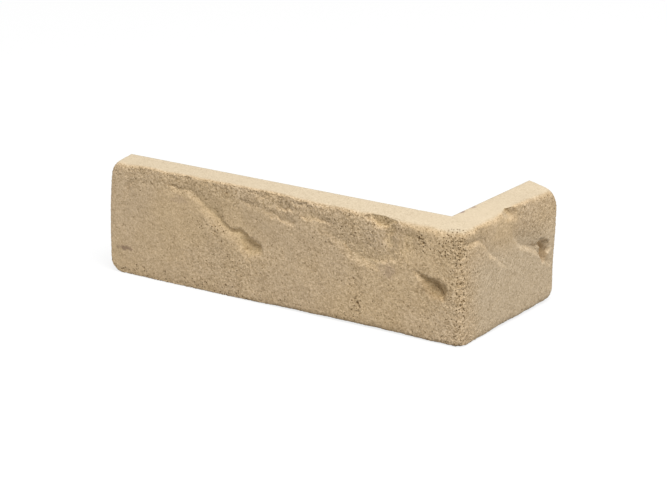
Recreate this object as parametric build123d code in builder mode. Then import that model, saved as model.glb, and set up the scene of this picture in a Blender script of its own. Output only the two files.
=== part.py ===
from build123d import *
import os

# Corner brick slip of cast concrete: one L-shaped piece that wraps the outer corner of a wall, so that thin
# facing looks like whole bricks. It stands on its bed, with the long leg's riven face to the front (-Y) and
# the short leg's to the right (+X). The origin is the inner corner at bed level. Sizes are in mm.

long_leg = 240.0  # outer length of the long leg, along X
short_leg = 102.0  # outer length of the short leg, along Y
slip_height = 67.0  # bed to top, at the backs
slip_thickness = 18.0  # back to riven face, on both legs
top_fall = 2.0  # the top is this much lower at the riven faces, so that the slip leaves its mould
back_corner_radius = 1.0  # end corners of the legs seen square on, at the backs
long_top_radius = 7.5  # the same at the long leg's riven face, top
long_bed_radius = 8.5  # and bed
short_top_radius = 9.5  # the same at the short leg's riven face, top
short_bed_radius = 4.0  # and bed
rim_radius = 3.0  # rounding round the rim of each riven face
mark_rim = 1.0  # how far the marks' cutting shapes stand out of the faces
run_out = -0.4  # depth of a mark's ends, which lie just clear of the face, so that the mark runs out in it

face_height = slip_height - top_fall

# Planes of the riven faces, seen square on, with their origin at the foot of the upright arris between them.
arris_foot = (slip_thickness, -slip_thickness, 0)
long_face = Plane(origin=arris_foot, x_dir=(1, 0, 0), z_dir=(0, -1, 0))
short_face = Plane(origin=arris_foot, x_dir=(0, 1, 0), z_dir=(1, 0, 0))
mitre = Plane(origin=(0, 0, 0), z_dir=(1, 1, 0))


def leg_outline(plane, end, height, bed_radius, top_radius):
    # A leg seen square on, from the upright arris to its end: a rectangle with its end corners rounded.
    with BuildSketch(plane) as outline:
        with BuildLine():
            Polyline((0, 0), (end, 0), (end, height), (0, height), close=True)
        make_face()
        for radius, which in ((bed_radius, 0), (top_radius, -1)):
            end_corners = outline.vertices().filter_by_position(Axis.X, end, end).sort_by(Axis.Y)
            fillet(end_corners[which], radius=radius)
    return outline.sketch


def leg(face, end, bed_radius, top_radius, kept_side):
    # The leg grows from its riven face to its back, and is mitred where it meets the other leg.
    back = face.offset(-slip_thickness)
    with BuildPart() as body:
        add(leg_outline(face, end, face_height, bed_radius, top_radius))
        add(leg_outline(back, end, slip_height, back_corner_radius, back_corner_radius))
        loft(ruled=True)
        split(bisect_by=mitre, keep=kept_side)
    return body.part


def riven_mark(face, stations):
    # The hollow left where a flake broke away: two slopes that meet in a crease. Each station gives a point of
    # the crease, right and up from the foot of the upright arris, its depth, and how far the slopes above and
    # below it reach. Stations run from left to right, each cut square across the line through its neighbours.
    points = [face.from_local_coords((right, up, 0)) for right, up, *_ in stations]
    with BuildPart() as mark:
        for index, (_, _, depth, above, below) in enumerate(stations):
            run = points[min(index + 1, len(points) - 1)] - points[max(index - 1, 0)]
            with BuildSketch(Plane(origin=points[index], x_dir=face.z_dir.cross(run), z_dir=run)):
                with BuildLine():
                    Polyline((above, mark_rim), (0, -depth), (-below, mark_rim), close=True)
                make_face()
        loft()
    return mark.part


long_face_marks = {
    "diagonal gouge": (
        (-200, 58, run_out, 2, 2),
        (-190, 57.5, 1.4, 3, 3),
        (-177, 54.5, 1.5, 4, 5),
        (-165, 47.5, 2.3, 4, 9),
        (-151, 41.5, 3.8, 3, 11),
        (-140, 38, 4.8, 3, 10),
        (-134, 33.5, 4.4, 3, 8),
        (-130, 29, run_out, 2, 3),
    ),
    "first ledge under the top": (
        (-150, 59.5, run_out, 2, 2),
        (-139, 59, 1.0, 3, 2.5),
        (-126, 56, 1.2, 4, 2.5),
        (-114, 55.5, 1.0, 4, 2),
        (-104, 53.5, run_out, 2, 1),
    ),
    "second ledge under the top": (
        (-128, 60.8, run_out, 2, 1.5),
        (-118, 59.5, 1.0, 4, 2),
        (-106, 58.2, 1.2, 6, 2),
        (-93, 56.5, 1.2, 7, 2),
        (-80, 53, run_out, 3, 1),
    ),
    "shallow scoop": (
        (-93, 53.5, run_out, 5, 2),
        (-78, 46, 1.6, 14, 4),
        (-63, 39.5, 2.0, 19, 5),
        (-54, 39, 2.1, 19, 5),
        (-44, 43.5, 2.0, 15, 4),
        (-30, 38.5, run_out, 5, 2),
    ),
    "notch by the corner": (
        (-34, 39, run_out, 1, 2),
        (-27, 38, 2.8, 2, 5),
        (-18, 35.5, 5.0, 3, 8),
        (-13, 31, 5.4, 3, 9),
        (-9, 21, run_out, 1, 3),
    ),
    "chipped top arris": (
        (-67, 65, run_out, 4, 2),
        (-59, 62, 2.0, 8, 3),
        (-51, 60, 2.8, 9, 3),
        (-45, 61.5, 2.2, 8, 3),
        (-38, 65, run_out, 4, 2),
    ),
}

short_face_marks = {
    "upper step": (
        (0, 57.5, run_out, 3, 1),
        (10, 56, 1.3, 6, 2),
        (20, 55.5, 1.8, 8, 2),
        (29, 48, 2.2, 14, 2.5),
        (38, 40, 2.2, 15, 2.5),
        (52, 32.5, run_out, 4, 1),
    ),
    "lower step": (
        (54, 55, run_out, 3, 1),
        (61, 45, 1.7, 11, 2.5),
        (70, 38.5, 2.4, 14, 3),
        (80, 34.5, 3.4, 12, 3),
        (88, 28, 3.4, 9, 3),
        (98, 20, run_out, 3, 1),
    ),
    "pocket at the end of the lower step": (
        (71, 40, run_out, 2, 2),
        (79, 38, 3.4, 2.5, 3.5),
        (86, 34.5, 6.0, 3.5, 5),
        (90, 27, 4.6, 5, 4),
        (93.5, 20, run_out, 2, 1),
    ),
    "notched top arris": (
        (37, 66.5, run_out, 3, 2),
        (44, 64, 3.0, 7, 4),
        (51, 61.5, 3.4, 7, 4),
        (59, 57.5, run_out, 2, 1),
    ),
}

marks = [riven_mark(long_face, stations) for stations in long_face_marks.values()]
marks += [riven_mark(short_face, stations) for stations in short_face_marks.values()]

with BuildPart() as slip:
    add(leg(long_face, -long_leg, long_bed_radius, long_top_radius, Keep.BOTTOM))
    add(leg(short_face, short_leg, short_bed_radius, short_top_radius, Keep.TOP))
    riven_faces = slip.faces().sort_by(Axis.Y)[:1] + slip.faces().sort_by(Axis.X)[-1:]
    fillet(riven_faces.edges(), radius=rim_radius)
    for mark in marks:
        add(mark, mode=Mode.SUBTRACT)

slip.part.label = "corner_brick_slip"
os.makedirs("parts", exist_ok=True)
export_step(slip.part, "parts/corner_brick_slip.step")
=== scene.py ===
import math
import bmesh
import bpy
import numpy as np
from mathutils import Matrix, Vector


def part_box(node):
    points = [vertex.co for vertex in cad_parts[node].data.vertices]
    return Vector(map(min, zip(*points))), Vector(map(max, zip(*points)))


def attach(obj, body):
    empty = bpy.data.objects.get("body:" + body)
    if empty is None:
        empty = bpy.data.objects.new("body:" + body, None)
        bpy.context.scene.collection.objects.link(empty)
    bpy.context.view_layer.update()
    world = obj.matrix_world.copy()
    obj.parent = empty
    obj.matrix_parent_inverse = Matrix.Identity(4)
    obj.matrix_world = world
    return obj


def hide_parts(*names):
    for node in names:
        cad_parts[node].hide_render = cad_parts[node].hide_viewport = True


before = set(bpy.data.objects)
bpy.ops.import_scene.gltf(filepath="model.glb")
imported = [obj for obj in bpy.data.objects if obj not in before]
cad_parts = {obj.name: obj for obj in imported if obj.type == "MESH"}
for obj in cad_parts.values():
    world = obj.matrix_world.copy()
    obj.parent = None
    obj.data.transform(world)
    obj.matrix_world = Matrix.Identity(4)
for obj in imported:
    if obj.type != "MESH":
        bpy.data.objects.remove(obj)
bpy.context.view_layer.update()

# A corner brick slip of sand-coloured cast concrete. Its mesh is worked out in millimetres from the CAD box
# and handed to Blender in metres. One measure, the run, goes along both riven faces from left to right as
# seen from outside: it is 0 at the upright arris between them, negative on the long leg and positive on the
# short leg. Up is the height above the bed.

nodeName = "corner_brick_slip"
mm = 0.001
scene = bpy.context.scene

boxLow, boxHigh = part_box(nodeName)
thickness = boxHigh.x / mm
height = boxHigh.z / mm
longRun = (boxHigh.x - boxLow.x) / mm
shortRun = (boxHigh.y - boxLow.y) / mm


# One output of a node. Sums and products of wires, and of wires and numbers, add Math nodes to its tree.
class Wire:
    def __init__(self, bench, socket):
        self.bench = bench
        self.socket = socket

    def other(self, name):  # another output of the same node
        return Wire(self.bench, self.socket.node.outputs[name])

    def withMath(self, operation, first, second):
        return self.bench.node("ShaderNodeMath", {"operation": operation}, {0: first, 1: second})

    def __add__(self, value):
        return self.withMath("ADD", self, value)

    def __radd__(self, value):
        return self.withMath("ADD", value, self)

    def __sub__(self, value):
        return self.withMath("SUBTRACT", self, value)

    def __rsub__(self, value):
        return self.withMath("SUBTRACT", value, self)

    def __mul__(self, value):
        return self.withMath("MULTIPLY", self, value)

    def __rmul__(self, value):
        return self.withMath("MULTIPLY", value, self)

    def __truediv__(self, value):
        return self.withMath("DIVIDE", self, value)

    def __rtruediv__(self, value):
        return self.withMath("DIVIDE", value, self)

    def __pow__(self, value):
        return self.withMath("POWER", self, value)

    def atLeast(self, value):
        return self.withMath("MAXIMUM", self, value)

    def atMost(self, value):
        return self.withMath("MINIMUM", self, value)

    def between(self, low, high):  # 0 below low, 1 above high and a soft rise between
        limits = {0: self, 1: low, 2: high, 3: 0.0, 4: 1.0}
        return self.bench.node("ShaderNodeMapRange", {"interpolation_type": "SMOOTHSTEP"}, limits)


# A node tree being built. node() takes the node's type, its settings, which are set first, and its inputs.
class Bench:
    def __init__(self, tree):
        self.tree = tree

    def node(self, kind, settings=None, inputs=None, output=0):
        made = self.tree.nodes.new(kind)
        for name, value in (settings or {}).items():
            setattr(made, name, value)
        for name, value in (inputs or {}).items():
            if isinstance(value, Wire):
                self.tree.links.new(value.socket, made.inputs[name])
            else:
                made.inputs[name].default_value = value
        if len(made.outputs):
            return Wire(self, made.outputs[output])

    def vectorMath(self, operation, first, second):
        return self.node("ShaderNodeVectorMath", {"operation": operation}, {0: first, 1: second})

    def scaled(self, vector, factor):
        return self.node("ShaderNodeVectorMath", {"operation": "SCALE"}, {0: vector, "Scale": factor})

    def noise(self, place, detail, roughness):  # the place is counted in widths of its lumps
        inputs = {"Vector": place, "Scale": 1.0, "Detail": detail, "Roughness": roughness}
        return self.node("ShaderNodeTexNoise", {"noise_dimensions": "3D"}, inputs)

    def cells(self, place):  # distance from each cell's centre, with the place counted in cells
        return self.node("ShaderNodeTexVoronoi", {"feature": "F1"}, {"Vector": place, "Scale": 1.0})

    def mixColour(self, factor, first, second, blend="MIX"):
        settings = {"data_type": "RGBA", "blend_type": blend, "clamp_factor": True}
        return self.node("ShaderNodeMix", settings, {0: factor, 6: first, 7: second}, 2)


# The slip without its marks. The top and bed arrises of the riven faces are given as (run, how far the arris
# has moved from the corner of the CAD box, how far its rounding reaches). The radii of the leg ends, seen
# square on at the riven faces, come as (top, bed). A retreat is (height, how far the end stands back there).
# A ripple is (size, wavelength, seed), and its size is a share of the value where it ripples a radius.
body = {
    "spacing": 0.52,  # of the mesh's points
    "endZone": 15.0,  # they draw closer over this much of a leg, towards its end
    "arrisSteps": 10,
    "arrisRoom": 8.0,  # height that the face's steps leave to its two arrises
    "doublesReach": 0.02,
    "uprightRadius": 4.5,
    "backEndRadius": 1.2,
    "longEndRadii": (6.0, 8.5),
    "shortEndRadii": (8.8, 4.6),
    "longEndArris": 1.4,
    "shortEndArris": 1.1,
    "topBend": 1.4,  # power of the top's fall from the back to the riven face
    "bedBend": 2,  # and of the bed's rise
    "topArris": (
        (-240, 0.6, 4.5),
        (-215, 0.4, 2.6),
        (-183, 0.35, 1.9),
        (-155, 0.25, 1.8),
        (-134, 0.1, 1.4),
        (-112, 0.7, 2.4),
        (-85, 1.5, 3.4),
        (-68, 1.6, 3.4),
        (-50, 1.9, 3.6),
        (-34, 2.4, 5.0),
        (-14, 2.7, 5.5),
        (6, 3.0, 4.2),
        (20, 3.1, 3.2),
        (38, 3.0, 3.2),
        (50, 1.2, 3.0),
        (57, 0.3, 1.6),
        (66, 0.9, 2.4),
        (76, 1.8, 3.5),
        (90, 2.2, 4.5),
        (102, 1.8, 5.0),
    ),
    "bedArris": (
        (-240, 0.0, 1.5),
        (-170, 0.0, 1.5),
        (-140, 0.1, 2.5),
        (-110, 0.4, 3.2),
        (-70, 0.9, 4.0),
        (-30, 0.3, 3.2),
        (0, 0.2, 3.0),
        (8, 0.0, 2.5),
        (20, 0.2, 3.0),
        (40, 0.9, 3.5),
        (70, 0.8, 3.5),
        (102, 1.4, 4.0),
    ),
    "topFallRipple": (0.25, 17.0, 5),
    "topRadiusRipple": (0.25, 11.0, 6),
    "bedRiseRipple": (0.15, 45.0, 7),
    "bedRadiusRipple": (0.12, 16.0, 8),
    "longEndRetreat": ((0, 0.2), (20, 0.1), (40, 0.6), (50, 1.3), (57, 2.0), (67, 2.6)),
    "shortEndRetreat": ((0, 3.6), (20, 3.3), (34, 2.1), (46, 0.6), (67, 0.5)),
    "retreatReach": 24.0,
    "faceWave": 0.25,  # how deep the waves of the riven faces are on average
    "faceRipples": ((0.18, 42.0, 31), (0.09, 13.0, 32)),
    "rimSoftness": 0.25,  # of the rims of the marks
    "topWear": 3.0,  # how far the crumbled sand reaches from each arris
    "bedWear": 2.5,
    "uprightWear": 4.0,
}

# The marks left where flakes broke away. A station is (run, up, depth, reach above, reach below) of the
# mark's deepest line. Ragged is how far its edges stray. The bend is the power of its wide side's slope,
# which is hollow above 1, and the bowl is the least share of it that the other side has. A leaning mark is
# broad and shallow, and is added under the others.
usualBend = 1.7
marks = {
    "diagonalGouge": {
        "ragged": 0.9,
        "bend": 1.4,
        "stations": (
            (-197, 59.8, 0.0, 1.0, 1.5),
            (-193.8, 59.0, 1.3, 1.4, 3.0),
            (-190, 58.4, 1.2, 1.8, 3.0),
            (-186, 57.6, 0.9, 4.0, 2.6),
            (-181, 57.0, 0.9, 7.0, 2.6),
            (-176.5, 55.0, 0.95, 9.0, 3.6),
            (-172, 52.0, 1.1, 10.0, 4.6),
            (-167, 48.4, 1.25, 9.0, 5.4),
            (-161.6, 44.8, 1.5, 6.0, 5.8),
            (-157.8, 42.0, 1.8, 2.0, 6.4),
            (-152, 40.8, 2.1, 1.8, 7.4),
            (-147, 39.8, 2.5, 2.0, 8.4),
            (-143.4, 37.6, 3.0, 2.8, 9.6),
            (-141.0, 34.4, 3.5, 4.6, 10.0),
            (-138.4, 32.8, 3.5, 5.4, 9.6),
            (-135.0, 33.2, 2.6, 4.2, 7.0),
            (-131.4, 35.4, 0.0, 1.2, 1.2),
        ),
    },
    "gougeLean": {
        "lean": True,
        "stations": (
            (-190, 62.0, 0.0, 6.0, 4.0),
            (-168, 50.0, 0.5, 16.0, 8.0),
            (-148, 42.0, 0.8, 20.0, 10.0),
            (-132, 36.0, 0.6, 22.0, 12.0),
            (-110, 32.0, 0.0, 16.0, 10.0),
        ),
    },
    "firstLedge": {
        "ragged": 0.9,
        "stations": (
            (-149, 59.4, 0.0, 1.0, 2.0),
            (-144, 58.9, 0.9, 1.0, 4.5),
            (-138, 58.5, 0.9, 1.0, 4.5),
            (-132, 57.4, 0.4, 1.2, 3.5),
            (-126, 55.2, 0.7, 3.0, 1.6),
            (-121, 53.4, 0.9, 6.0, 1.4),
            (-115, 51.6, 1.1, 8.0, 1.4),
            (-110, 51.2, 1.0, 7.0, 1.4),
            (-106, 53.6, 0.0, 3.0, 1.2),
        ),
    },
    "secondLedge": {
        "ragged": 1.0,
        "stations": (
            (-121.5, 60.8, 0.0, 2.0, 1.0),
            (-118, 59.6, 1.1, 5.0, 1.3),
            (-112, 59.4, 1.1, 5.0, 1.3),
            (-107, 60.2, 0.0, 2.0, 1.0),
        ),
    },
    "scoop": {
        "ragged": 1.1,
        "bend": 1.2,
        "stations": (
            (-92, 53.0, 0.0, 6.0, 2.4),
            (-85, 49.8, 0.6, 11.0, 3.4),
            (-78, 46.0, 0.9, 15.0, 4.0),
            (-71, 42.4, 1.2, 19.0, 4.4),
            (-63, 40.0, 1.4, 21.0, 4.6),
            (-55, 39.2, 1.4, 21.0, 4.6),
            (-50, 41.4, 1.5, 18.0, 4.2),
            (-46, 44.4, 1.3, 13.0, 3.8),
            (-41.5, 44.0, 0.8, 8.0, 3.0),
            (-37, 42.4, 0.0, 4.0, 1.5),
        ),
    },
    "scoopEnd": {
        "ragged": 0.7,
        "bend": 1.2,
        "stations": (
            (-48.5, 45.5, 0.0, 2.0, 2.0),
            (-47.0, 50.0, 1.5, 6.0, 3.8),
            (-46.6, 54.5, 1.9, 7.0, 4.4),
            (-45.4, 59.0, 1.7, 7.0, 4.4),
            (-42.0, 65.0, 0.0, 4.0, 3.0),
        ),
    },
    "arrisLedge": {
        "ragged": 1.0,
        "stations": (
            (-138, 64.8, 0.0, 3.0, 1.0),
            (-134, 63.8, 0.8, 8.0, 1.4),
            (-128, 63.4, 0.8, 8.0, 1.4),
            (-124, 64.4, 0.0, 3.0, 1.0),
        ),
    },
    "arrisShade": {
        "ragged": 1.2,
        "stations": (
            (-114, 64.4, 0.0, 1.0, 2.0),
            (-107, 63.6, 0.9, 1.3, 4.0),
            (-100, 62.8, 0.9, 1.3, 4.0),
            (-92, 62.0, 0.0, 1.0, 2.0),
        ),
    },
    "thirdLedge": {
        "ragged": 1.0,
        "stations": (
            (-107, 56.2, 0.0, 2.0, 1.0),
            (-103, 57.4, 1.2, 7.0, 1.4),
            (-95, 56.8, 1.2, 8.5, 1.4),
            (-87, 55.6, 0.9, 7.0, 1.4),
            (-81, 54.0, 0.0, 4.0, 1.0),
        ),
    },
    "ridgeFall": {
        "ragged": 0.5,
        "bend": 1.3,
        "stations": (
            (-41.0, 44.0, 0.0, 2.0, 5.0),
            (-38.0, 49.0, 1.2, 4.5, 13.0),
            (-36.0, 54.0, 1.6, 5.0, 15.0),
            (-34.2, 59.0, 1.2, 4.5, 13.0),
            (-33.0, 64.0, 0.0, 2.0, 5.0),
        ),
    },
    "topChip": {
        "ragged": 0.7,
        "stations": (
            (-64, 65.4, 0.0, 12.0, 1.2),
            (-60, 63.2, 1.5, 24.0, 2.0),
            (-55.5, 61.4, 2.4, 30.0, 2.6),
            (-51.5, 60.4, 2.7, 30.0, 2.8),
            (-47.5, 61.4, 2.4, 30.0, 2.6),
            (-43.5, 63.6, 1.5, 24.0, 2.0),
            (-40, 65.6, 0.0, 12.0, 1.2),
        ),
    },
    "cornerNotch": {
        "ragged": 0.5,
        "bend": 1.5,
        "bowl": 0.5,
        "stations": (
            (-31.5, 38.9, 0.0, 0.8, 0.8),
            (-27.5, 37.4, 2.2, 1.4, 3.0),
            (-23, 35.4, 3.6, 2.4, 5.0),
            (-18.5, 32.8, 4.8, 4.4, 6.6),
            (-15.2, 30.2, 5.4, 7.0, 6.4),
            (-12.8, 27.2, 4.4, 6.0, 4.8),
            (-11.4, 24.4, 0.0, 1.0, 1.5),
        ),
    },
    "leftCrease": {
        "ragged": 0.6,
        "stations": (
            (-229, 45.0, 0.0, 3.0, 1.5),
            (-225.4, 53.0, 1.1, 5.0, 1.6),
            (-220.4, 59.5, 0.0, 3.0, 1.5),
        ),
    },
    "upperStep": {
        "ragged": 0.4,
        "stations": (
            (1, 57.7, 0.0, 4.0, 1.2),
            (8, 56.8, 1.3, 6.5, 3.0),
            (18.5, 56.4, 1.5, 7.0, 2.8),
            (23.5, 53.2, 1.7, 12.0, 2.6),
            (30, 46.8, 1.8, 17.0, 2.6),
            (37, 41.2, 1.6, 17.0, 2.4),
            (44, 36.2, 0.8, 11.0, 2.0),
            (50, 33.0, 0.0, 4.0, 1.0),
        ),
    },
    "lowerStep": {
        "ragged": 0.4,
        "stations": (
            (53.5, 57.0, 0.0, 4.0, 1.0),
            (54.5, 51.0, 1.2, 8.0, 2.2),
            (57, 47.4, 1.6, 11.0, 2.6),
            (62.5, 42.6, 2.0, 15.0, 2.8),
            (69, 39.6, 2.2, 15.0, 2.8),
            (76, 36.8, 2.3, 13.0, 2.6),
            (82, 33.6, 2.4, 11.0, 2.4),
            (87, 29.0, 2.2, 9.0, 2.4),
            (92, 25.0, 1.4, 7.0, 2.4),
            (98, 21.5, 0.0, 3.0, 1.0),
        ),
    },
    "endGouge": {
        "ragged": 0.5,
        "bend": 1.0,
        "stations": (
            (69.5, 40.4, 0.0, 1.0, 1.0),
            (74, 38.6, 2.2, 3.0, 2.0),
            (79, 36.8, 3.1, 4.2, 2.4),
            (83.5, 36.6, 3.6, 4.0, 3.2),
            (86.3, 36.8, 4.4, 3.6, 4.4),
            (88.0, 35.4, 5.4, 6.0, 4.8),
            (88.6, 32.6, 5.8, 8.0, 4.4),
            (89.0, 29.6, 5.2, 8.0, 4.0),
            (90.0, 27.0, 3.4, 6.0, 3.0),
            (92.0, 24.6, 0.0, 1.5, 1.2),
        ),
    },
    "topNotch": {
        "ragged": 0.4,
        "bend": 1.1,
        "stations": (
            (38.5, 68.0, 0.0, 3.0, 2.0),
            (42, 68.0, 1.8, 6.0, 5.0),
            (46, 67.4, 3.2, 8.0, 7.0),
            (50, 65.6, 3.9, 7.0, 7.0),
            (53.5, 62.8, 3.6, 4.5, 5.4),
            (56, 60.0, 2.0, 2.6, 3.2),
            (58, 57.8, 0.0, 1.0, 1.5),
        ),
    },
}

# Single large air holes: (run, up, radius).
pits = (
    (-27.6, 57.6, 0.9),
    (-24.6, 55.4, 0.8),
    (-12.6, 55.4, 0.6),
    (-11.0, 50.4, 0.7),
    (-26.0, 59.4, 0.6),
    (-72.0, 51.6, 0.6),
    (-70.2, 51.4, 0.5),
    (-85.6, 45.0, 0.5),
    (-84.2, 44.0, 0.5),
    (-65.0, 43.0, 0.5),
    (-72.6, 23.2, 0.5),
    (-66.4, 22.0, 0.5),
    (-64.2, 19.4, 0.5),
    (-68.8, 15.4, 0.5),
    (-65.2, 14.8, 0.5),
    (-66.6, 8.8, 0.5),
    (-70.0, 26.8, 0.7),
    (-69.0, 24.6, 0.5),
    (-67.2, 13.4, 0.9),
    (-66.0, 11.6, 0.6),
    (-170.8, 54.6, 0.6),
    (-164.6, 50.0, 0.5),
    (-163.0, 48.8, 0.5),
    (-158.6, 46.6, 0.6),
    (-155.4, 61.4, 0.6),
    (-157.4, 62.6, 0.5),
    (-135.0, 49.2, 0.6),
    (-180.0, 28.0, 0.5),
    (-171.4, 42.5, 0.5),
    (-169.6, 40.3, 0.5),
    (-164.0, 37.0, 0.7),
    (-162.2, 34.6, 0.5),
    (-159.4, 32.2, 0.6),
    (-155.2, 31.8, 0.5),
    (-162.4, 36.4, 0.5),
    (-215.4, 6.0, 0.6),
    (22.2, 47.8, 0.7),
    (17.0, 38.8, 0.6),
    (68.0, 53.6, 0.6),
    (84.5, 42.4, 0.8),
    (82.0, 41.6, 0.5),
)


def softStep(value, low, high):  # 0 below low, 1 above high and a soft rise between
    share = np.clip((value - low) / (high - low), 0, 1)
    return share * share * (3 - 2 * share)


def band(value, middle, reach):  # 1 at the middle, fading out to 0 on both sides
    return np.exp(-(((value - middle) / reach) ** 2))


def spot(run, up, runAt, upAt, runReach, upReach):  # 1 in the middle of an oval patch, fading out to 0
    return np.exp(-(((run - runAt) / runReach) ** 2) - ((up - upAt) / upReach) ** 2)


# A smooth wavy value between about -1 and 1 over a plane, from a few seeded sine waves.
def ripple(x, y, wavelength, seed, waves=7):
    rng = np.random.default_rng(seed)
    total = np.zeros(np.broadcast(x, y).shape)
    for _ in range(waves):
        angle = rng.uniform(0, 2 * math.pi)
        rate = 2 * math.pi / (wavelength * rng.uniform(0.6, 1.7))
        along = x * math.cos(angle) + y * math.sin(angle)
        total += np.sin(along * rate + rng.uniform(0, 2 * math.pi))
    return total / math.sqrt(waves * 1.2)


# The stations' values at any run, or height, with their turns softened over a reach to both sides.
def alongStations(stations, run, reach=5.0):
    table = np.array(stations, float)
    offsets = np.linspace(-reach, reach, 7)
    weights = np.cos(offsets / reach * math.pi / 2) + 0.05
    weights /= weights.sum()
    values = []
    for column in table.T[1:]:
        shifted = np.interp(run[..., None] + offsets, table[:, 0], column)
        values.append((shifted * weights).sum(-1))
    return values


def smoothLine(stations, step=1.5):  # a curve through the stations, with their other values carried along
    points = np.array(stations, float)
    padded = np.vstack([2 * points[0] - points[1], points, 2 * points[-1] - points[-2]])
    pieces = []
    for before, start, end, after in zip(padded, padded[1:], padded[2:], padded[3:]):
        count = max(2, int(np.hypot(*(end - start)[:2]) / step))
        t = np.linspace(0, 1, count, endpoint=False)[:, None]
        bend = 2 * start + (end - before) * t + (2 * before - 5 * start + 4 * end - after) * t**2
        pieces.append((bend + (3 * start - before - 3 * end + after) * t**3) / 2)
    line = np.vstack(pieces + [points[-1:]])
    line[:, 2:] = np.maximum(line[:, 2:], 0)
    return line


def markDepth(mark, run, up, seed):  # how deep one mark is below the riven face at each point
    line = smoothLine(mark["stations"])
    ragged = mark.get("ragged", 0.0)

    def strayed(place, seed):  # moved by a broad ripple and a fine one, which makes the edges ragged
        place = place + ragged * ripple(run, up, 8.0, seed)
        return place + 0.35 * ragged * ripple(run, up, 3.0, seed + 1)

    x = strayed(run, seed)
    y = strayed(up, seed + 2)
    reach = line[:, 3:].max() + 2
    near = (x > line[:, 0].min() - reach) & (x < line[:, 0].max() + reach)
    near &= (y > line[:, 1].min() - reach) & (y < line[:, 1].max() + reach)
    px, py = x[near], y[near]
    best = np.full(px.shape, 1e9)
    side = np.ones(px.shape)
    values = np.zeros((3,) + px.shape)
    for start, end in zip(line, line[1:]):
        dx, dy = end[:2] - start[:2]
        t = ((px - start[0]) * dx + (py - start[1]) * dy) / (dx * dx + dy * dy)
        t = np.clip(t, 0, 1)
        ox = px - start[0] - t * dx
        oy = py - start[1] - t * dy
        distance = np.hypot(ox, oy)
        closer = distance < best
        best = np.where(closer, distance, best)
        side = np.where(closer, np.sign(oy * dx - ox * dy), side)
        for k in range(3):
            values[k] = np.where(closer, start[2 + k] + t * (end[2 + k] - start[2 + k]), values[k])
    depth, above, below = values
    reachHere = np.maximum(np.where(side > 0, above, below), 0.5)
    falling = np.clip(1 - best / reachHere, 0, 1)
    wide = softStep(reachHere / np.maximum(above + below, 1), 0.5, 0.75)  # 1 on the wide, gentle side
    if mark.get("lean"):
        profile = falling * falling * (3 - 2 * falling)
    else:
        bend = mark.get("bend", usualBend) - 1
        profile = falling ** (1 + bend * np.maximum(wide, mark.get("bowl", 0)))
    result = np.zeros(run.shape)
    result[near] = depth * profile
    return result


def allMarks(run, up):
    leaning = np.zeros(run.shape)
    deepest = np.zeros(run.shape)
    for seed, mark in enumerate(marks.values()):
        depth = markDepth(mark, run, up, 100 + 10 * seed)
        if mark.get("lean"):
            leaning += depth
        else:
            deepest = np.maximum(deepest, depth)
    return leaning + deepest


# The places along the riven faces where the slip is cut into sections. Each has its run, its distance from
# the leg's end, its plan point on the riven face and the plan point on the backs that it fans out from.
def sectionPlaces():
    spacing = body["spacing"]
    radius = body["uprightRadius"]
    zone = body["endZone"]
    endSteps = int(zone / spacing * 1.1)
    fromEnd = zone * (np.arange(endSteps) / endSteps) ** 2  # closest at the end itself
    longMiddle = np.arange(zone, longRun - radius, spacing)
    shortMiddle = np.arange(zone, shortRun - radius, spacing)
    longSteps = np.concatenate([fromEnd, longMiddle])
    shortSteps = np.concatenate([fromEnd, shortMiddle])[::-1]
    turns = np.linspace(0, math.pi / 2, int(radius * math.pi / 2 / spacing) + 1)
    run = np.concatenate([longSteps - longRun, radius * (turns * 4 / math.pi - 1), shortRun - shortSteps])
    farOff = np.full(turns.shape, 1000.0)  # the turn between the legs is at neither end
    toEnd = np.concatenate([longSteps, farOff, shortSteps])
    faceX = np.concatenate([
        thickness + longSteps - longRun,
        thickness - radius + radius * np.sin(turns),
        np.full(shortSteps.shape, thickness),
    ])
    faceY = np.concatenate([
        np.full(longSteps.shape, -thickness),
        radius - thickness - radius * np.cos(turns),
        shortRun - thickness - shortSteps,
    ])
    backX = np.where(run < 0, np.minimum(faceX, 0), 0)
    backY = np.where(run > 0, np.maximum(faceY, 0), 0)
    return run, toEnd, faceX, faceY, backX, backY


def cornerDrop(radius, distance):  # how far a rounded corner has fallen away at a distance from its edge
    inside = np.clip(radius - distance, 0, radius)
    return radius - np.sqrt(radius**2 - inside**2)


def bezier(start, corner, end, count):
    t = np.linspace(0, 1, count + 1)[1:-1]
    return start * (1 - t) ** 2 + corner * 2 * t * (1 - t) + end * t**2


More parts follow.
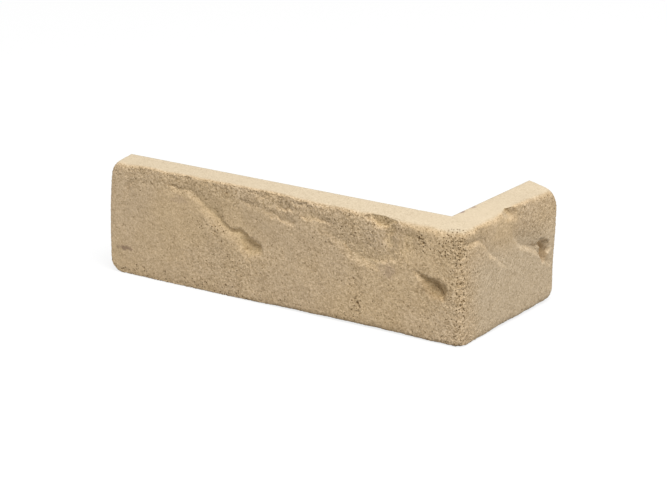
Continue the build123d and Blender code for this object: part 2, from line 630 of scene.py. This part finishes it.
# Every section is one closed loop of (out, up) points: up the back, out over the top, down the riven face
# and in under the bed. Out is measured from the back, so that the riven face is at the thickness.
def sectionLoops(run, toEnd):
    def rippled(name):
        size, wavelength, seed = body[name]
        return size * ripple(run, 0 * run, wavelength, seed)

    topFall, topRadius = alongStations(body["topArris"], run)
    bedRise, bedRadius = alongStations(body["bedArris"], run)
    topFall = topFall + rippled("topFallRipple")
    topRadius = topRadius * (1 + rippled("topRadiusRipple"))
    bedRise = np.maximum(bedRise + rippled("bedRiseRipple"), 0)
    bedRadius = bedRadius * (1 + rippled("bedRadiusRipple"))
    longSide = run < 0
    topEnd = np.where(longSide, body["longEndRadii"][0], body["shortEndRadii"][0])
    bedEnd = np.where(longSide, body["longEndRadii"][1], body["shortEndRadii"][1])
    backEnd = body["backEndRadius"]

    def topAt(out):
        share = out / thickness
        radius = backEnd + (topEnd - backEnd) * share
        return height - topFall * share ** body["topBend"] - cornerDrop(radius, toEnd)

    def bedAt(out):
        share = out / thickness
        radius = backEnd + (bedEnd - backEnd) * share
        return bedRise * share ** body["bedBend"] + cornerDrop(radius, toEnd)

    def column(values):
        return np.asarray(values)[:, None]

    topFall, topRadius, bedRise, bedRadius = map(column, (topFall, topRadius, bedRise, bedRadius))
    topEnd, bedEnd, toEnd = column(topEnd), column(bedEnd), column(toEnd)
    endArris = np.where(column(longSide), body["longEndArris"], body["shortEndArris"])
    faceOut = thickness - cornerDrop(endArris, toEnd)
    faceTop, faceBed = topAt(faceOut), bedAt(faceOut)
    mostRadius = (faceTop - faceBed) / 2.2  # which leaves some face between the two arrises
    topRadius = np.minimum(topRadius, mostRadius)
    bedRadius = np.minimum(bedRadius, mostRadius)

    spacing = body["spacing"]
    arrisCount = body["arrisSteps"]
    rowCount = int(thickness / spacing)
    faceCount = int((height - body["arrisRoom"]) / spacing)
    across = np.linspace(0, 1, rowCount + 1)
    topOut = (faceOut - topRadius) * across
    topUp = topAt(topOut)
    bedOut = (faceOut - bedRadius) * across[::-1]
    bedUp = bedAt(bedOut)
    down = np.linspace(0, 1, faceCount + 1)
    faceUp = (faceTop - topRadius) * (1 - down) + (faceBed + bedRadius) * down
    faceAcross = faceOut + 0 * faceUp
    topArrisOut = bezier(topOut[:, -1:], faceOut, faceOut, arrisCount)
    topArrisUp = bezier(topUp[:, -1:], faceTop, faceUp[:, :1], arrisCount)
    bedArrisOut = bezier(faceOut, faceOut, bedOut[:, :1], arrisCount)
    bedArrisUp = bezier(faceUp[:, -1:], faceBed, bedUp[:, :1], arrisCount)
    frontOut = np.hstack([topArrisOut, faceAcross, bedArrisOut])
    frontUp = np.hstack([topArrisUp, faceUp, bedArrisUp])
    sideCount = frontOut.shape[1] + 1  # steps down the front, and so up the back
    rise = np.linspace(0, 1, sideCount + 1)[1:-1]
    backUp = bedUp[:, -1:] * (1 - rise) + topUp[:, :1] * rise
    out = np.hstack([bedOut[:, -1:], 0 * backUp, topOut, frontOut, bedOut[:, :-1]])
    up = np.hstack([bedUp[:, -1:], backUp, topUp, frontUp, bedUp[:, :-1]])
    return out, up, sideCount, rowCount, faceTop, faceBed


def loopSides(loop, sideCount, rowCount):  # back and front run upwards, top and bed run outwards
    back = loop[: sideCount + 1]
    top = loop[sideCount : sideCount + rowCount + 1]
    front = loop[sideCount + rowCount : 2 * sideCount + rowCount + 1][::-1]
    bed = np.concatenate([loop[2 * sideCount + rowCount :], loop[:1]])[::-1]
    return back, top, front, bed


def capGrid(back, top, front, bed):  # the points inside a leg's end, blended between its four sides
    v = np.linspace(0, 1, len(back))[1:-1, None, None]
    u = np.linspace(0, 1, len(bed))[None, 1:-1, None]
    sides = back[1:-1, None] * (1 - u) + front[1:-1, None] * u
    ends = bed[None, 1:-1] * (1 - v) + top[None, 1:-1] * v
    corners = (1 - u) * (1 - v) * bed[0] + u * (1 - v) * bed[-1] + (1 - u) * v * top[0] + u * v * top[-1]
    return sides + ends - corners


# Patches with more air holes, or with coarser sand, than round them: the run and the height of the middle,
# how far the patch reaches along each, and how much it adds.
pittedPatches = (
    (-166, 39, 10, 4, 0.42),
    (-155, 25, 8, 4, 0.4),
    (-88, 46, 6, 6, 0.25),
    (-24, 56, 5, 4, 0.4),
    (-20, 52, 12, 9, 0.22),
    (-8, 58, 12, 9, 0.35),
    (88, 43, 7, 4, 0.25),
)
coarsePatches = (
    (-152, 18, 34, 15, 0.4),
    (-66, 50, 20, 10, 0.4),
)


def patchesAt(patches, run, up):
    return sum(more * spot(run, up, *patch) for *patch, more in patches)


# How dense the air holes are, from 0 to 1.
def pittingAt(run, up, side, behind):
    pitting = 0.08 + 0.06 * ripple(run, up, 24.0, 41) + 0.05 * ripple(run, up, 9.0, 42)
    pitting += patchesAt(pittedPatches, run, up)
    # Along the upright arris, in a line low on the long leg, at the bed and high on the short leg's end.
    pitting += (0.4 * softStep(up, 6, 18) + 0.1 * softStep(up, 28, 42)) * band(run, 0, 8)
    pitting += 0.42 * band(run, -68, 3.5) * softStep(up, 5, 9) * (1 - softStep(up, 30, 36))
    pitting += 0.18 * (1 - softStep(up, 6, 11)) * (1 - softStep(run, -150, -120))
    pitting += 0.1 * (1 - softStep(up, 5, 9))
    pitting += 0.12 * softStep(run, 58, 66) * softStep(up, 42, 48)
    # The top, the bed and the backs have few, apart from the top by the upright arris.
    calm = side * (1 - band(run, 0, 18) * (1 - softStep(behind, 4, 8)))
    pitting = np.clip(pitting, 0.0, 0.8) * (1 - calm) + 0.04 * calm
    return np.where(behind > thickness - 0.01, 0.2, pitting)


# How coarse the skin is: calm at the long leg's end, and rough under the top and round the upright arris.
def coarsenessAt(run, up):
    coarse = 0.62 + 0.2 * softStep(run, -140, -60) * (1 - softStep(run, 4, 30))
    coarse += 0.32 * band(run, 0, 15)
    coarse += 0.4 * softStep(up, 52, 60) * (1 - softStep(run, -44, -30))
    coarse += 0.06 * softStep(run, 10, 25) + 0.3 * softStep(run, 56, 64) * softStep(up, 40, 48)
    coarse += patchesAt(coarsePatches, run, up)
    return np.clip(coarse, 0, 1.2)


def pitDepth(run, up):
    depth = np.zeros(run.shape)
    for pitRun, pitUp, radius in pits:
        inside = radius**2 - (run - pitRun) ** 2 - (up - pitUp) ** 2
        depth = np.maximum(depth, np.sqrt(np.maximum(inside, 0)))
    return depth


def buildSlip():
    run, toEnd, faceX, faceY, backX, backY = sectionPlaces()
    out, up, sideCount, rowCount, faceTop, faceBed = sectionLoops(run, toEnd)
    sections, around = out.shape
    runs = np.repeat(run[:, None], around, 1)
    behind = thickness - out

    # The marks are cut as far as they reach below the riven face, through the top and the arrises as well.
    depth = allMarks(runs, up)
    wave = body["faceWave"]
    for size, wavelength, seed in body["faceRipples"]:
        wave = wave + size * ripple(runs, up, wavelength, seed)
    wave = np.maximum(wave, 0) * softStep(toEnd, 0, 12)[:, None]
    limit = thickness - depth - wave
    soft = body["rimSoftness"]
    carved = np.where(out > 0.5, soft * np.logaddexp(0, (out - limit) / soft), 0)
    out = np.maximum(out - carved, 0)

    side = softStep(behind, 0.8, 3.5) * (1 - softStep(carved, 0.2, 0.8))  # 1 off the riven faces, 0 on them
    wear = band(np.hypot(behind, up - faceTop), 0, body["topWear"])
    wear += band(np.hypot(behind, up - faceBed), 0, body["bedWear"])
    wear += band(runs, 0, body["uprightWear"]) * (1 - softStep(behind, 1, 4))

    share = out / thickness
    x = backX[:, None] + (faceX - backX)[:, None] * share
    y = backY[:, None] + (faceY - backY)[:, None] * share
    fade = np.clip(1 - toEnd / body["retreatReach"], 0, 1) ** 2
    x += np.where(run < 0, fade, 0)[:, None] * alongStations(body["longEndRetreat"], up)[0]
    y -= np.where(run > 0, fade, 0)[:, None] * alongStations(body["shortEndRetreat"], up)[0]
    places = np.stack([x, y, up], -1)

    rows = np.arange(sections * around).reshape(sections, around)
    rowsOn = np.roll(rows, -1, 1)
    quads = [np.stack([rows[:-1], rows[1:], rowsOn[1:], rowsOn[:-1]], -1).reshape(-1, 4)]
    points = [places.reshape(-1, 3)]
    total = rows.size
    for end, turned in ((0, False), (sections - 1, True)):
        inner = capGrid(*loopSides(places[end], sideCount, rowCount))
        count = inner.shape[0] * inner.shape[1]
        ids = np.zeros((sideCount + 1, rowCount + 1), int)
        ids[1:-1, 1:-1] = total + np.arange(count).reshape(inner.shape[:2])
        ids[:, 0], ids[-1], ids[:, -1], ids[0] = loopSides(rows[end], sideCount, rowCount)
        cap = np.stack([ids[:-1, :-1], ids[:-1, 1:], ids[1:, 1:], ids[1:, :-1]], -1).reshape(-1, 4)
        quads.append(cap[:, ::-1] if turned else cap)
        points.append(inner.reshape(-1, 3))
        total += count
    points = np.vstack(points)
    quads = np.vstack(quads)

    mesh = bpy.data.meshes.new(nodeName)
    mesh.from_pydata((points * mm).tolist(), [], quads.tolist())
    piece = bpy.data.objects.new("slip", mesh)
    scene.collection.objects.link(piece)

    # What the skin and the material read at each point, with its value on the leg ends.
    patterns = {
        "hollow": (depth * (carved > 0.2), 0.0),
        "sideSkin": (side, 1.0),
        "wear": (wear, 0.0),
        "pitting": (pittingAt(runs, up, side, behind), 0.06),
        "pit": (pitDepth(runs, up) * (1 - side), 0.0),
        "coarse": (coarsenessAt(runs, up), 0.7),
    }
    for name, (values, onEnds) in patterns.items():
        values = np.concatenate([values.ravel(), np.full(total - rows.size, onEnds)])
        attribute = mesh.attributes.new(name, "FLOAT", "POINT")
        attribute.data.foreach_set("value", values.astype(np.float32))
    print("slip grid:", len(points), "points,", len(quads), "faces")
    return piece


def mergeDoubles(piece):
    shape = bmesh.new()
    shape.from_mesh(piece.data)
    bmesh.ops.remove_doubles(shape, verts=shape.verts, dist=body["doublesReach"] * mm)
    bmesh.ops.recalc_face_normals(shape, faces=shape.faces)
    shape.to_mesh(piece.data)
    shape.free()
    print("doubles merged:", len(piece.data.vertices), "points left")


# The sandy skin. Depths are the most that a surface is pressed in, after it has swelled a little, and the
# reach is the radius of the largest air hole as a share of the spacing of the holes.
skin = {
    "Lump Size": 6.0 * mm,
    "Lump Depth": 0.25 * mm,
    "Grain Size": 1.15 * mm,
    "Grain Depth": 0.34 * mm,
    "Swell": 0.25 * mm,
    "Hole Spacing": 1.85 * mm,
    "Hole Reach": 0.32,
    "Seed": 11,
}
mostTriangles = 195000  # that the finished slip may have


def skinTree():
    tree = bpy.data.node_groups.new("sandSkin", "GeometryNodeTree")
    bench = Bench(tree)
    sockets = tree.interface
    sockets.new_socket("Geometry", in_out="INPUT", socket_type="NodeSocketGeometry")
    for name, value in skin.items():
        kind = "NodeSocketInt" if isinstance(value, int) else "NodeSocketFloat"
        sockets.new_socket(name, in_out="INPUT", socket_type=kind)
    sockets.new_socket("Material", in_out="INPUT", socket_type="NodeSocketMaterial")
    sockets.new_socket("Geometry", in_out="OUTPUT", socket_type="NodeSocketGeometry")
    given = bench.node("NodeGroupInput")
    place = bench.node("GeometryNodeInputPosition")
    seed = given.other("Seed")
    away = bench.node("ShaderNodeCombineXYZ", None, {0: seed * 17.3, 1: seed * -9.1, 2: seed * 5.7})

    def pattern(name):
        settings = {"data_type": "FLOAT"}
        return bench.node("GeometryNodeInputNamedAttribute", settings, {"Name": name}, "Attribute")

    def inSteps(size):
        return bench.vectorMath("ADD", bench.scaled(place, 1 / size), away)

    side = pattern("sideSkin")
    crumble = pattern("wear")
    coarse = pattern("coarse")
    lumps = bench.noise(inSteps(given.other("Lump Size")), 1.0, 0.55)
    lumps = given.other("Lump Depth") * lumps * (coarse + crumble)
    grains = bench.noise(inSteps(given.other("Grain Size")), 2.0, 0.55).between(0.3, 0.7)
    grains = given.other("Grain Depth") * grains * (1 - 0.65 * side) * (coarse + 0.7 * crumble)

    spacing = given.other("Hole Spacing")
    cell = bench.cells(inSteps(spacing))
    lot = bench.node("FunctionNodeSeparateColor", None, {0: cell.other("Color")})
    present = (pattern("pitting") - lot).between(0.0, 0.12)
    radius = given.other("Hole Reach") * present * (0.5 + 0.5 * lot.other("Green"))
    holes = ((radius * radius - cell * cell).atLeast(0) ** 0.5) * spacing
    holes = holes.atLeast(pattern("pit") * mm)
    hollowed = lumps + grains + holes

    # The material reads how deep the holes and the hollows between grains are, in millimetres, and paints
    # shade into them by that depth.
    geometry = given.other("Geometry")
    for name, depth in (("hole", holes), ("grain", grains)):
        inputs = {"Geometry": geometry, "Name": name, "Value": depth / mm}
        storing = {"data_type": "FLOAT", "domain": "POINT"}
        geometry = bench.node("GeometryNodeStoreNamedAttribute", storing, inputs)
    move = bench.scaled(bench.node("GeometryNodeInputNormal"), given.other("Swell") - hollowed)
    pressed = bench.node("GeometryNodeSetPosition", None, {"Geometry": geometry, "Offset": move})
    soft = bench.node("GeometryNodeSetShadeSmooth", None, {"Geometry": pressed})
    real = bench.node("GeometryNodeRealizeInstances", None, {"Geometry": soft})
    inputs = {"Geometry": real, "Material": given.other("Material")}
    coated = bench.node("GeometryNodeSetMaterial", None, inputs)
    bench.node("NodeGroupOutput", None, {"Geometry": coated})
    return tree


def pressSkin(piece, material):
    modifier = piece.modifiers.new("sandSkin", "NODES")
    modifier.node_group = skinTree()
    for item in modifier.node_group.interface.items_tree:
        if item.name in skin:
            modifier[item.identifier] = skin[item.name]
        elif item.name == "Material":
            modifier[item.identifier] = material
    thinner = piece.modifiers.new("thinner", "DECIMATE")
    thinner.ratio = mostTriangles / (2 * len(piece.data.polygons))
    thinner.use_collapse_triangulate = True
    bpy.context.view_layer.update()
    graph = bpy.context.evaluated_depsgraph_get()
    rough = piece.data
    piece.data = bpy.data.meshes.new_from_object(piece.evaluated_get(graph))
    piece.modifiers.clear()
    bpy.data.meshes.remove(rough)

    # Nothing swells out of the CAD box.
    places = np.empty(3 * len(piece.data.vertices), np.float32)
    piece.data.vertices.foreach_get("co", places)
    places = np.clip(places.reshape(-1, 3), np.array(boxLow), np.array(boxHigh))
    piece.data.vertices.foreach_set("co", places.ravel())
    piece.data.update()
    print("skin pressed:", len(piece.data.polygons), "triangles")


# Colours are linear, and a shade is how much darker its pattern or place can make them.
concrete = {
    "warm": (0.585, 0.435, 0.262, 1),
    "cool": (0.572, 0.432, 0.275, 1),
    "fresh": (0.59, 0.436, 0.24, 1),
    # painted light: a paler, less saturated colour for the top, bed and backs
    "side": (0.575, 0.475, 0.335, 1),
    "pale": (0.57, 0.448, 0.3, 1),
    # painted shade inside the air holes and pinholes
    "hole": (0.105, 0.048, 0.004, 1),
    "smear": (0.285, 0.193, 0.125, 1),
    "stain": (0.28, 0.19, 0.165, 1),
    # painted shade, for the deepest hollows of the marks
    "paintedShade": (0.26, 0.17, 0.085, 1),
    "toneSize": 40 * mm,
    "blotchSize": 9 * mm,
    "mottleSize": 2.6 * mm,
    "grainSize": 0.7 * mm,
    "pinholeSize": 1.4 * mm,
    "blotchShade": 0.3,
    "mottleShade": 0.19,
    "grainShade": 0.47,
    "darkGrainShade": 0.35,
    # painted shade in the hollows between grains
    "paintedGrainShade": 0.36,
    "bedShade": 0.03,
    "bedReach": 9 * mm,
    "browning": (1.12, 1.35),  # powers of the shade in green and in blue
    # painted shade in the holes and pinholes, and the most of it
    "holeShade": 1.1,  # for each millimetre of its depth
    "pinholeShade": 0.8,
    "mostHoleShade": 0.88,
    "brokenShare": 0.7,  # how far the depths of the marks take on the fresh or the pale colour
    "shortLegX": (13 * mm, 17 * mm),  # where the short leg's paler colour fades in
    "shortLegY": (-14 * mm, 6 * mm),
    "shortLegUp": (35 * mm, 55 * mm),  # and where it fades out again, upwards
    "bumpDepth": 0.24 * mm,
    "bumpStrength": 0.9,
    "roughness": 0.92,
    "specular": 0.25,
}

# Stains, and painted shade in the deepest hollows of the marks: which colour, the place of the middle, how
# far it reaches along each axis, and its strength.
stains = (
    ("smear", (-0.2110, -0.018, 0.0158), (0.0052, 0.004, 0.0012), 0.85),
    ("stain", (-0.0290, -0.018, 0.0350), (0.0040, 0.004, 0.0034), 0.22),
    ("stain", (-0.1710, -0.018, 0.0520), (0.0042, 0.004, 0.0026), 0.16),
    ("stain", (0.0004, 0.0096, 0.0670), (0.0008, 0.0018, 0.0012), 0.85),
    ("stain", (0.0010, 0.0212, 0.0670), (0.0010, 0.0022, 0.0012), 0.5),
    # painted shadow in the deep ends of the end gouge, the corner notch and the diagonal gouge
    ("paintedShade", (0.0146, 0.0728, 0.0300), (0.0050, 0.0025, 0.0075), 0.7),
    ("paintedShade", (-0.0010, -0.015, 0.0310), (0.0085, 0.0045, 0.0065), 0.5),
    ("paintedShade", (-0.1210, -0.0145, 0.0335), (0.0045, 0.0035, 0.0045), 0.2),
)


def concreteMaterial():
    material = bpy.data.materials.new("sandConcrete")
    material.use_nodes = True
    tree = material.node_tree
    bench = Bench(tree)
    shader = tree.nodes["Principled BSDF"]
    place = bench.node("ShaderNodeTexCoord", None, None, "Object")

    def pattern(name):
        return bench.node("ShaderNodeAttribute", {"attribute_name": name}, None, "Fac")

    def inSteps(sizeName):
        return bench.scaled(place, 1 / concrete[sizeName])

    side, pitting, hollow, hole = map(pattern, ("sideSkin", "pitting", "hollow", "hole"))
    betweenGrains, coarse = map(pattern, ("grain", "coarse"))
    up = bench.node("ShaderNodeSeparateXYZ", None, {0: place}, "Z")
    onShortLeg = up.other("X").between(*concrete["shortLegX"])
    onShortLeg = onShortLeg * up.other("Y").between(*concrete["shortLegY"])
    lowOnShortLeg = onShortLeg * (1 - up.between(*concrete["shortLegUp"]))

    tone = bench.noise(inSteps("toneSize"), 2.0, 0.5).between(0.35, 0.65)
    colour = bench.mixColour(tone, concrete["warm"], concrete["cool"])
    broken = hollow.between(0.4, 2.4)  # 1 in the depths of the marks
    paler = (lowOnShortLeg + broken * onShortLeg * concrete["brokenShare"]).atMost(1)
    colour = bench.mixColour(broken * (1 - onShortLeg) * concrete["brokenShare"], colour, concrete["fresh"])
    colour = bench.mixColour(paler, colour, concrete["pale"])
    # Painted light: the top, bed and backs take the paler colour, which stands in for the whiter look of the
    # lit top.
    colour = bench.mixColour(side, colour, concrete["side"])

    # Darker grains, and the painted shade in the pores between them, are browner too, because light that
    # bounces in them takes on their colour.
    blotch = bench.noise(inSteps("blotchSize"), 3.0, 0.6)
    mottle = bench.noise(inSteps("mottleSize"), 2.0, 0.6)
    grain = bench.cells(inSteps("grainSize"))
    lot = bench.node("ShaderNodeSeparateColor", None, {0: grain.other("Color")})
    sandy = (1 - 0.7 * side) * coarse
    shade = 1 + (blotch - 0.5) * concrete["blotchShade"] * sandy
    shade = shade + (mottle - 0.5) * concrete["mottleShade"] * sandy
    shade = shade + (lot - 0.5) * concrete["grainShade"] * sandy
    shade = shade - lot.other("Green").between(0.9, 0.96) * concrete["darkGrainShade"] * sandy
    # Darker towards the bed.
    shade = shade - (1 - up.between(0.0, concrete["bedReach"])) * concrete["bedShade"]
    # Painted shade in the hollows between grains, by their depth.
    shade = shade - betweenGrains * concrete["paintedGrainShade"]
    greenPower, bluePower = concrete["browning"]
    channels = {0: shade, 1: shade**greenPower, 2: shade**bluePower}
    browner = bench.node("ShaderNodeCombineColor", None, channels)
    colour = bench.mixColour(1.0, colour, browner, "MULTIPLY")

    # A pinhole stands in some of the cells, and in more of them where the skin is pitted.
    cell = bench.cells(inSteps("pinholeSize"))
    chance = bench.node("ShaderNodeSeparateColor", None, {0: cell.other("Color")})
    reach = (pitting * 1.3 - chance).between(0.0, 0.3) * 0.33
    pinhole = (reach - cell).between(-0.04, 0.08)
    # Painted shade: the air holes darken towards the hole colour by their depth, and the pinholes are
    # painted dark.
    paintedHoleShade = hole * concrete["holeShade"] + pinhole * concrete["pinholeShade"]
    colour = bench.mixColour(paintedHoleShade.atMost(concrete["mostHoleShade"]), colour, concrete["hole"])

    for kind, middle, spread, strength in stains:
        offset = bench.vectorMath("SUBTRACT", place, middle)
        offset = bench.vectorMath("DIVIDE", offset, spread)
        far = bench.node("ShaderNodeVectorMath", {"operation": "LENGTH"}, {0: offset}, "Value")
        stain = 1 - (far + (mottle - 0.5) * 3.0).between(0.5, 1.5)
        colour = bench.mixColour(stain * strength, colour, concrete[kind])
    tree.links.new(colour.socket, shader.inputs["Base Color"])

    relief = bench.noise(inSteps("grainSize"), 2.0, 0.6) * sandy - pinhole * 1.5
    inputs = {"Height": relief, "Distance": concrete["bumpDepth"], "Strength": concrete["bumpStrength"]}
    bump = bench.node("ShaderNodeBump", None, inputs)
    tree.links.new(bump.socket, shader.inputs["Normal"])
    shader.inputs["Roughness"].default_value = concrete["roughness"]
    shader.inputs["Specular IOR Level"].default_value = concrete["specular"]
    print("concrete mixed:", len(tree.nodes), "nodes")
    return material


lighting = {
    "world": 0.68,
    "keyPower": 45.6,
    "keySize": 1.35,
    "keyPlace": (0.83, -0.69, 1.95),
    "lensMm": 140.33,
    "azimuth": 34.188,
    "elevation": 17.93,
    "distance": 1.4843,
    "target": (-0.09664, 0.02921, 0.02264),
    "floorHalf": 6.0,
    "floorGrey": 0.9,  # of the floor that the camera sees, under its share of plain white
    "floorWhite": 0.8,
    "bounceGrey": 0.4,  # of the floor that lights the slip
}


def placeCamera():
    azimuth = math.radians(lighting["azimuth"])
    elevation = math.radians(lighting["elevation"])
    back = Vector((
        math.sin(azimuth) * math.cos(elevation),
        -math.cos(azimuth) * math.cos(elevation),
        math.sin(elevation),
    ))
    camera = bpy.data.objects.new("camera", bpy.data.cameras.new("camera"))
    scene.collection.objects.link(camera)
    camera.location = Vector(lighting["target"]) + back * lighting["distance"]
    camera.rotation_euler = back.to_track_quat("Z", "Y").to_euler()
    camera.data.lens = lighting["lensMm"]
    scene.camera = camera


def lightRoom():
    world = bpy.data.worlds.new("softRoom")
    scene.world = world
    world.use_nodes = True
    background = world.node_tree.nodes["Background"]
    bench = Bench(world.node_tree)
    path = bench.node("ShaderNodeLightPath")
    seen = path.other("Is Camera Ray").atLeast(path.other("Is Glossy Ray"))
    seen = seen.atLeast(path.other("Is Transmission Ray"))
    strength = seen * (1 - lighting["world"]) + lighting["world"]
    world.node_tree.links.new(strength.socket, background.inputs["Strength"])
    background.inputs["Color"].default_value = (1, 1, 1, 1)

    key = bpy.data.lights.new("key", "AREA")
    key.size = lighting["keySize"]
    key.energy = lighting["keyPower"]
    keyObject = bpy.data.objects.new("key", key)
    scene.collection.objects.link(keyObject)
    keyObject.location = lighting["keyPlace"]
    aim = Vector(lighting["keyPlace"]) - Vector(lighting["target"])
    keyObject.rotation_euler = aim.to_track_quat("Z", "Y").to_euler()
    scene.view_settings.view_transform = "Standard"


def layFloor():
    floorMesh = bpy.data.meshes.new("floor")
    half = lighting["floorHalf"]
    corners = [(-half, -half, 0), (half, -half, 0), (half, half, 0), (-half, half, 0)]
    floorMesh.from_pydata(corners, [], [(0, 1, 2, 3)])
    floor = bpy.data.objects.new("floor", floorMesh)
    scene.collection.objects.link(floor)
    floorMaterial = bpy.data.materials.new("paleFloor")
    floorMaterial.use_nodes = True
    tree = floorMaterial.node_tree
    tree.nodes.clear()
    bench = Bench(tree)

    def matt(grey):
        return bench.node("ShaderNodeBsdfDiffuse", None, {"Color": (grey, grey, grey, 1)})

    def blend(factor, first, second):
        return bench.node("ShaderNodeMixShader", None, {0: factor, 1: first, 2: second})

    path = bench.node("ShaderNodeLightPath")
    white = bench.node("ShaderNodeEmission", None, {"Color": (1, 1, 1, 1), "Strength": 1.0})
    forCamera = blend(lighting["floorWhite"], matt(lighting["floorGrey"]), white)
    whole = blend(path.other("Is Camera Ray"), matt(lighting["bounceGrey"]), forCamera)
    bench.node("ShaderNodeOutputMaterial", None, {"Surface": whole})
    floorMesh.materials.append(floorMaterial)


placeCamera()
lightRoom()
layFloor()
print("stage set")
slipPiece = buildSlip()
mergeDoubles(slipPiece)
pressSkin(slipPiece, concreteMaterial())
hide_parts(nodeName)
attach(slipPiece, "root")
